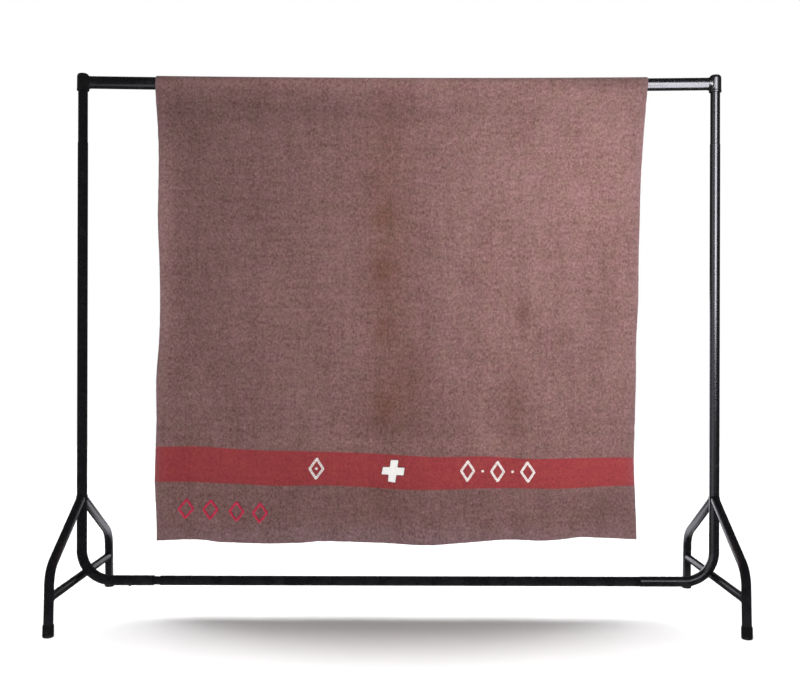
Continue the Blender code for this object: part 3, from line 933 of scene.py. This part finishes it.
rows = FRONT_ROWS + WRAP_ROWS + BACK_ROWS
bm = bmesh.new()
bmesh.ops.create_grid(bm, x_segments=COLUMNS, y_segments=rows, size=0.5)
cloth_map = bm.loops.layers.uv.new("cloth")
stripe_map = bm.loops.layers.uv.new("stripe")
stain_layer = bm.verts.layers.float.new("stain")
painted_shade_layer = bm.verts.layers.float.new("shade")
rim_layer = bm.verts.layers.float.new("rim")
flat_place = {}
for vert in bm.verts:
    share = vert.co.x + 0.5
    row = round((vert.co.y + 0.5) * rows)
    flat_place[vert.index] = (share - 0.5) * CLOTH_WIDTH, length_along(row)
    vert.co = drape(share, row)
    from_side = min(share, 1 - share) * CLOTH_WIDTH
    from_end = min(length_along(row), CLOTH_LENGTH - length_along(row))
    vert[rim_layer] = math.exp(-min(from_side, from_end) / RIM_FADE)
    if vert.co.y < 0:
        vert[stain_layer] = patch_level(STAINS, vert.co.x, vert.co.z)
        # Painted shade, and painted light where negative, from the table of patches.
        vert[painted_shade_layer] = patch_level(SHADE_AND_LIGHT_PATCHES, vert.co.x, vert.co.z)
for face in bm.faces:
    for loop in face.loops:
        across, along = flat_place[loop.vert.index]
        loop[cloth_map].uv = (across, along)
        in_front = loop.vert.co.y < 0
        band = stripe_place(loop.vert.co.x, loop.vert.co.z) if in_front else NO_STRIPE
        loop[stripe_map].uv = (across, band)
wool = felted_wool()
blanket = add_piece(bm, "blanket_cloth", wool, math.pi)
thicken(blanket, CLOTH_THICKNESS, CLOTH_ROUNDING).use_even_offset = True
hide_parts("blanket")

# The cross. White felt, cut by hand, laid on the stripe and sewn down with
# small overcast stitches all round.
CROSS_X = -0.0141
CROSS_Z = 0.398
CROSS_SPAN = 0.0635
CROSS_LEAN = 0.14
CROSS_FALL = 0.03
CROSS_THICKNESS = 0.0016
CROSS_CUTS = 31
CROSS_ROUNDING = 0.0005
CROSS_LIFT = 0.0003
CROSS_ARM = 0.18 * CROSS_SPAN
CROSS_TIP = 0.3 * CROSS_SPAN
CROSS_RAGGED = 0.0008
THREAD_RADIUS = 0.00055


def white_felt():
    felt = Finish(
        "white_felt",
        {"Specular IOR Level": 0.2, "Sheen Weight": 0.2, "Sheen Roughness": 0.5},
    )
    place = felt.place()
    tuft = felt.speckle(place, 420, 3.0, 0.6)
    soil = felt.speckle(place, 90, 3.0, 0.6)
    colour = felt.mix(felt.ease(soil, 0.45, 0.8), (0.98, 0.97, 0.94, 1), (0.92, 0.88, 0.84, 1))
    return felt.finish(colour, 0.9, tuft, 0.0005)


bpy.context.view_layer.update()
cloth_surface = BVHTree.FromObject(blanket, bpy.context.evaluated_depsgraph_get())
INTO_CLOTH = Vector((0, 1, 0))


def on_cloth(across, height, lift):
    """A point over the front of the cloth, and the cloth's normal there."""
    point, normal, _, _ = cloth_surface.ray_cast(Vector((across, -1, height)), INTO_CLOTH)
    normal = normal if normal.y < 0 else -normal
    return point + normal * lift, normal


def cross_place(point):
    """The place across and the height of a point on the cross."""
    across = CROSS_X + point.x + CROSS_LEAN * point.y
    return across, CROSS_Z + point.y - CROSS_FALL * point.x


noise.seed_set(4)
bm = bmesh.new()
bmesh.ops.create_grid(bm, x_segments=CROSS_CUTS, y_segments=CROSS_CUTS, size=CROSS_SPAN / 2)
corners = []
for face in bm.faces:
    middle = face.calc_center_median()
    if abs(middle.x) > CROSS_ARM and abs(middle.y) > CROSS_ARM:
        corners.append(face)
bmesh.ops.delete(bm, geom=corners, context="FACES")
rim_verts = [vert for vert in bm.verts if vert.is_boundary]
for vert in rim_verts:
    if vert.co.y < -CROSS_TIP:
        vert.co.y -= 0.20 * vert.co.x
    if vert.co.x < -CROSS_TIP:
        vert.co.x += 0.12 * vert.co.y
    ragged = noise.noise_vector(vert.co * 260) * CROSS_RAGGED
    vert.co += Vector((ragged.x, ragged.y, 0))
for _ in range(3):
    bmesh.ops.smooth_vert(bm, verts=rim_verts, factor=0.5, use_axis_x=True, use_axis_y=True)
outline = [vert.co.copy() for vert in rim_verts]
for vert in bm.verts:
    vert.co = on_cloth(*cross_place(vert.co), CROSS_LIFT + CROSS_THICKNESS / 2)[0]
felt = white_felt()
cross = add_piece(bm, "cross_patch", felt, math.pi)
thicken(cross, CROSS_THICKNESS, CROSS_ROUNDING)
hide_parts("cross")

# The stitched marks. White chain stitch on the stripe and red yarn near the
# corner, sewn by hand as plain lozenges and knots.
CHAIN_LENGTH = 0.0078
CHAIN_WIDTH = 0.0076
YARN_RADIUS = 0.0015
CHAIN_STEP = CHAIN_LENGTH * 0.72
RING_RADIUS = 0.42
WHITE_KNOT_SIZE = (0.0042, 0.0040, 0.0022)
RED_STITCH_SIZE = (0.0056, 0.0040, 0.0019)
RED_STEP = 0.0060

# Columns: middle across, middle height, half width, half height, lean.
WHITE_LOZENGES = [
    (-0.2310, 0.4040, 0.019, 0.028, 0.05),
    (0.1960, 0.3990, 0.018, 0.027, 0.03),
    (0.2810, 0.3970, 0.018, 0.027, 0.00),
    (0.3660, 0.3960, 0.018, 0.027, -0.04),
]
WHITE_KNOTS = [
    (-0.2310, 0.4040),
    (0.2385, 0.3985),
    (0.3235, 0.3965),
]
RED_LOZENGES = [
    (-0.5990, 0.2900, 0.020, 0.026, 0.08),
    (-0.5300, 0.2880, 0.020, 0.026, 0.05),
    (-0.4560, 0.2830, 0.020, 0.026, 0.00),
    (-0.3890, 0.2800, 0.020, 0.026, 0.06),
]


def chain_link():
    """One loop of chain stitch: a ring of yarn, drawn out and pinched."""
    bm = bmesh.new()
    around = Matrix.Translation((1.0, 0, 0)) @ Matrix.Rotation(math.pi / 2, 4, "X")
    bmesh.ops.create_circle(bm, cap_ends=False, radius=RING_RADIUS, segments=6, matrix=around)
    bmesh.ops.spin(
        bm,
        geom=list(bm.verts) + list(bm.edges),
        cent=(0, 0, 0),
        axis=(0, 0, 1),
        angle=2 * math.pi,
        steps=10,
        use_merge=True,
    )
    bmesh.ops.remove_doubles(bm, verts=bm.verts, dist=0.001)
    for vert in bm.verts:
        pinch = 1 - 0.28 * (vert.co.x + 1.0)
        vert.co.y *= max(0.35, pinch)
        vert.co.z *= 0.9
    bmesh.ops.recalc_face_normals(bm, faces=bm.faces)
    mesh = bpy.data.meshes.new("chain_link")
    bm.to_mesh(mesh)
    bm.free()
    return mesh


def yarn_knot():
    """A short fat stitch of yarn, or with equal sizes a knot."""
    bm = bmesh.new()
    bmesh.ops.create_uvsphere(bm, u_segments=8, v_segments=6, radius=1.0)
    mesh = bpy.data.meshes.new("yarn_knot")
    bm.to_mesh(mesh)
    bm.free()
    return mesh


def lay(bm, shape, across, height, turn, size, lift):
    """Add a small shape on the cloth, turned in the cloth's own plane."""
    first = len(bm.verts)
    bm.from_mesh(shape)
    bm.verts.ensure_lookup_table()
    point, normal = on_cloth(across, height, lift)
    right = Vector((1, 0, 0))
    right = (right - normal * right.dot(normal)).normalized()
    up = normal.cross(right)
    facing = Matrix((right, up, normal)).transposed().to_4x4()
    spin = Matrix.Rotation(turn, 4, "Z")
    place = Matrix.Translation(point) @ facing @ spin @ Matrix.Diagonal((*size, 1))
    bmesh.ops.transform(bm, matrix=place, verts=bm.verts[first:])


def sew(bm, shape, start, end, step, size, lift, jitter):
    """Lay shapes in a line from one place to another."""
    run = Vector(end) - Vector(start)
    count = max(1, round(run.length / step))
    for index in range(count):
        spot = Vector(start) + run * (index + 0.5) / count
        wobble = jitter * math.sin(index * 5.1 + spot.x * 900)
        turn = math.atan2(run.y, run.x) + 0.10 * math.sin(index * 3.7 + spot.y * 700)
        lay(bm, shape, spot.x, spot.y + wobble, turn, size, lift)


def lozenge_corners(row):
    across, height, half_width, half_height, lean = row
    for x, z in ((0, 1), (1, 0), (0, -1), (-1, 0)):
        yield across + x * half_width + lean * z * half_height, height + z * half_height


def sew_lozenges(bm, rows, shape, step, size, lift, jitter):
    for row in rows:
        corners = list(lozenge_corners(row))
        for start, end in zip(corners, corners[1:] + corners[:1]):
            sew(bm, shape, start, end, step, size, lift, jitter)


def wool_yarn(name, bright, dull):
    yarn = Finish(
        name, {"Specular IOR Level": 0.25, "Sheen Weight": 0.3, "Sheen Roughness": 0.5}
    )
    place = yarn.place()
    ply = yarn.speckle(yarn.stretched(place, (1, 1, 0.6)), 700, 3.0, 0.6)
    shade = yarn.ease(yarn.speckle(place, 160, 2.0, 0.5), 0.4, 0.7)
    return yarn.finish(yarn.mix(shade, bright, dull), 0.85, ply, 0.0004)


link = chain_link()
knot = yarn_knot()
link_size = (CHAIN_LENGTH / 2.0, CHAIN_WIDTH / 2.2, YARN_RADIUS / RING_RADIUS)
bm = bmesh.new()
sew_lozenges(bm, WHITE_LOZENGES, link, CHAIN_STEP, link_size, 0.0007, 0.0004)
for across, height in WHITE_KNOTS:
    lay(bm, knot, across, height, 0.3, WHITE_KNOT_SIZE, 0.0005)
white_yarn = wool_yarn("white_yarn", (0.97, 0.92, 0.90, 1), (0.88, 0.77, 0.74, 1))
white_marks = add_piece(bm, "white_stitches", white_yarn, math.pi)

bm = bmesh.new()
sew_lozenges(bm, RED_LOZENGES, knot, RED_STEP, RED_STITCH_SIZE, 0.0005, 0.0007)
red_yarn = wool_yarn("red_yarn", (0.66, 0.036, 0.090, 1), (0.46, 0.026, 0.062, 1))
red_marks = add_piece(bm, "red_stitches", red_yarn, math.pi)

# The sewing round the cross. Overcast stitches in from its edge, and just outside it a
# painted shadow: a dark line of small knots that stands in for the shade the raised felt casts.
STITCH_SHARE = 0.55
STITCH_SIZE = (0.0019, THREAD_RADIUS, THREAD_RADIUS)
STITCH_INSET = 0.0010
SHADOW_KNOT_SIZE = (0.0017, 0.0010, 0.0005)
SHADOW_OUTSET = 0.0009

bm = bmesh.new()
random.seed(4)
for here in outline:
    inward = -here.normalized()
    across, height = cross_place(here + inward * STITCH_INSET)
    if random.random() < STITCH_SHARE:
        turn = math.atan2(inward.y, inward.x) + random.uniform(-0.3, 0.3)
        lay(bm, knot, across, height, turn, STITCH_SIZE, 0.0017)
cross_stitches = add_piece(bm, "cross_stitches", white_yarn, math.pi)

# The painted shadow: dark knots in a ring just outside the cross's edge.
bm = bmesh.new()
for here in outline:
    across, height = cross_place(here + here.normalized() * SHADOW_OUTSET)
    lay(bm, knot, across, height, random.uniform(0, math.pi), SHADOW_KNOT_SIZE, 0.0002)
shadow_knot_finish = wool_yarn("painted_shadow_yarn", (0.060, 0.010, 0.018, 1), (0.110, 0.015, 0.022, 1))
cross_painted_shadow = add_piece(bm, "cross_painted_shadow", shadow_knot_finish, math.pi)

# The studio: a plain pale floor under its own overhead lights, a tall softbox on
# the right, a wide weak light in front, and panels that the black tubes mirror.
FLOOR_WIDTH = 9.0
PANEL_COLOUR = (0.94, 0.92, 1.0)
CARD_BRIGHTNESS = {"left": 1.0, "right": 1.9}
SUN_SLANTS = (-2.4, -1.2, 0.0, 1.2, 2.4)
SUN_STRENGTH = 0.80
SUN_SPREAD = math.radians(22)

# The lights on the cloth, which no tube mirrors. Columns: name, place, aim,
# width and height, brightness, spread in degrees.
CLOTH_LIGHTS = [
    ("key_light", (1.35, -2.20, 1.35), (0.55, 0, 1.25), (0.12, 1.5), 8.3, 45),
    ("fill_light", (-0.3, -3.6, 0.9), (0, 0, 0.75), (3.0, 2.2), 1.55, 180),
    ("top_light", (-0.5, -0.5, 3.2), (-0.3, 0, 1.4), (1.6, 0.8), 1.68, 180),
    ("crest_light", (-0.2, 0.3, 3.0), (-0.1, 0, 1.5), (1.8, 0.4), 1.3, 180),
]


def pale_floor():
    floor = Finish("pale_floor", {"Specular IOR Level": 0.0})
    place = floor.place()
    cloud = floor.speckle(place, 1.3, 2.0, 0.5)
    colour = floor.mix(cloud, (0.93, 0.93, 0.93, 1), (0.95, 0.95, 0.95, 1))
    return floor.finish(colour, 0.8, cloud, 0.0005)


bm = bmesh.new()
bmesh.ops.create_grid(bm, x_segments=1, y_segments=1, size=FLOOR_WIDTH / 2)
mesh = bpy.data.meshes.new("floor")
bm.to_mesh(mesh)
bm.free()
mesh.materials.append(pale_floor())
floor = bpy.data.objects.new("floor", mesh)
bpy.context.scene.collection.objects.link(floor)
floor.visible_glossy = False


def only(name, pieces):
    """A collection for lights that reach, or are blocked by, a few pieces."""
    group = bpy.data.collections.new(name)
    for piece in pieces:
        group.objects.link(piece)
    return group


def place_light(light, place, aim):
    light.location = place
    light.rotation_mode = "QUATERNION"
    light.rotation_quaternion = (Vector(aim) - Vector(place)).to_track_quat("-Z", "Y")
    light.visible_camera = False
    bpy.context.scene.collection.objects.link(light)
    return light


def soft_light(name, place, aim, size, radiance, spread=180):
    """A rectangular light of a given brightness that faces a point."""
    lamp = bpy.data.lights.new(name, "AREA")
    lamp.shape = "RECTANGLE"
    lamp.size, lamp.size_y = size
    lamp.energy = radiance * size[0] * size[1] * math.pi
    lamp.spread = math.radians(spread)
    return place_light(bpy.data.objects.new(name, lamp), place, aim)


def mirrored_panel(name, place, aim, size, radiance, pieces, spread=180):
    """A panel that shows as a highlight on a few of the black pieces alone."""
    panel = soft_light(name, place, aim, size, radiance, spread)
    panel.data.color = PANEL_COLOUR
    panel.visible_diffuse = False
    panel.light_linking.receiver_collection = only(name, pieces)


for row in CLOTH_LIGHTS:
    soft_light(*row).visible_glossy = False

part = bpy.data.objects
post_right = [part["upright_tube_right"], part["upper_tube_right"]]
rail_right = [top_tube, part["fitting_right"]]
lit = post_right + rail_right
mirrored_panel("softbox", (1.02, -2.2, 1.58), (0.90, 0, 1.58), (1.5, 1.45), 3.8, lit, 70)
mirrored_panel("rail_panel", (1.18, -0.85, 0.65), (0.85, 0, 1.5), (0.6, 1.4), 17, [top_tube])
mirrored_panel("left_panel", (-1.10, -1.2, 0.03), (-1.1, -1.2, 2.0), (0.5, 1.6), 1.6, [top_tube])
side_pieces = post_right + [part["fitting_right"]]
mirrored_panel("side_panel", (-1.5, -1.3, 0.9), (0.9, 0, 0.9), (3.4, 2.6), 1.3, side_pieces)
for label, side in SIDES.items():
    rear_leg = [part["leg_tube_rear_" + label]]
    behind = (side * 0.84, 1.0, 0.40)
    mirrored_panel("behind_" + label, behind, (side * 0.84, 0, 0.2), (0.32, 0.9), 1.6, rear_leg)
    under = (side * 0.78, 0.60, 0.015)
    mirrored_panel("under_" + label, under, (side * 0.78, 0.60, 1), (0.36, 0.7), 1.7, rear_leg)
    card = (side * 0.80, 0.62, 0.18)
    bright = CARD_BRIGHTNESS[label]
    crossbar = [part["crossbar_tube_" + label]]
    mirrored_panel("card_" + label, card, (side * 0.80, 0, 0.16), (0.30, 0.30), bright, crossbar)
edge_pieces = [part["leg_tube_front_right"], part["upright_tube_right"]]
mirrored_panel("edge_right", (0.35, 1.2, 0.5), (0.9, 0, 0.2), (1.0, 0.9), 3.5, edge_pieces)
edge_pieces = [part["leg_tube_front_left"]]
mirrored_panel("edge_left", (-0.35, 1.2, 0.5), (-0.9, 0, 0.2), (1.0, 0.9), 0.7, edge_pieces)

floor_only = only("floor_only", [floor])
overhead = soft_light("overhead_light", (0, 0, 3.5), (0, 0, 0), (6.0, 5.0), 0.36)
overhead.light_linking.receiver_collection = floor_only
cloth_only = only("cloth_only", [blanket])
back = soft_light("back_light", (0.4, 3.4, 1.3), (0, 0, 0.9), (2.6, 2.0), 1.1)
back.visible_glossy = False
back.light_linking.receiver_collection = cloth_only
for slant in SUN_SLANTS:
    lamp = bpy.data.lights.new("high_light", "SUN")
    lamp.energy = SUN_STRENGTH
    lamp.angle = SUN_SPREAD
    sun = place_light(bpy.data.objects.new("high_light", lamp), (slant, 1.5, 5), (0, 0, 0))
    sun.light_linking.receiver_collection = floor_only
    sun.light_linking.blocker_collection = cloth_only

# The studio's walls. White behind the object, and dim for everything else.
WORLD_DIM = 0.08
world = bpy.data.worlds.new("studio")
bpy.context.scene.world = world
world.use_nodes = True
tree = world.node_tree
background = tree.nodes["Background"]
path = tree.nodes.new("ShaderNodeLightPath")
strength = tree.nodes.new("ShaderNodeMapRange")
strength.inputs["To Min"].default_value = WORLD_DIM
strength.inputs["To Max"].default_value = 1.0
tree.links.new(path.outputs["Is Camera Ray"], strength.inputs["Value"])
tree.links.new(strength.outputs[0], background.inputs["Strength"])
background.inputs["Color"].default_value = (1, 1, 1, 1)

bpy.context.scene.view_settings.view_transform = "Standard"
bpy.context.scene.view_settings.look = "None"

# The camera. Level with the middle of the object and square to it.
FOCAL_LENGTH = 44.3
CAMERA_PLACE = (0.0043, -2.8, 0.754)
CAMERA_ROLL = math.radians(-0.15)
HORIZON_SHIFT = -0.00625

lens = bpy.data.cameras.new("camera")
lens.lens = FOCAL_LENGTH
lens.sensor_width = 36.0
lens.shift_y = HORIZON_SHIFT
lens.clip_end = 100
camera = bpy.data.objects.new("camera", lens)
camera.location = CAMERA_PLACE
camera.rotation_euler = (math.pi / 2, CAMERA_ROLL, 0)
bpy.context.scene.collection.objects.link(camera)
bpy.context.scene.camera = camera
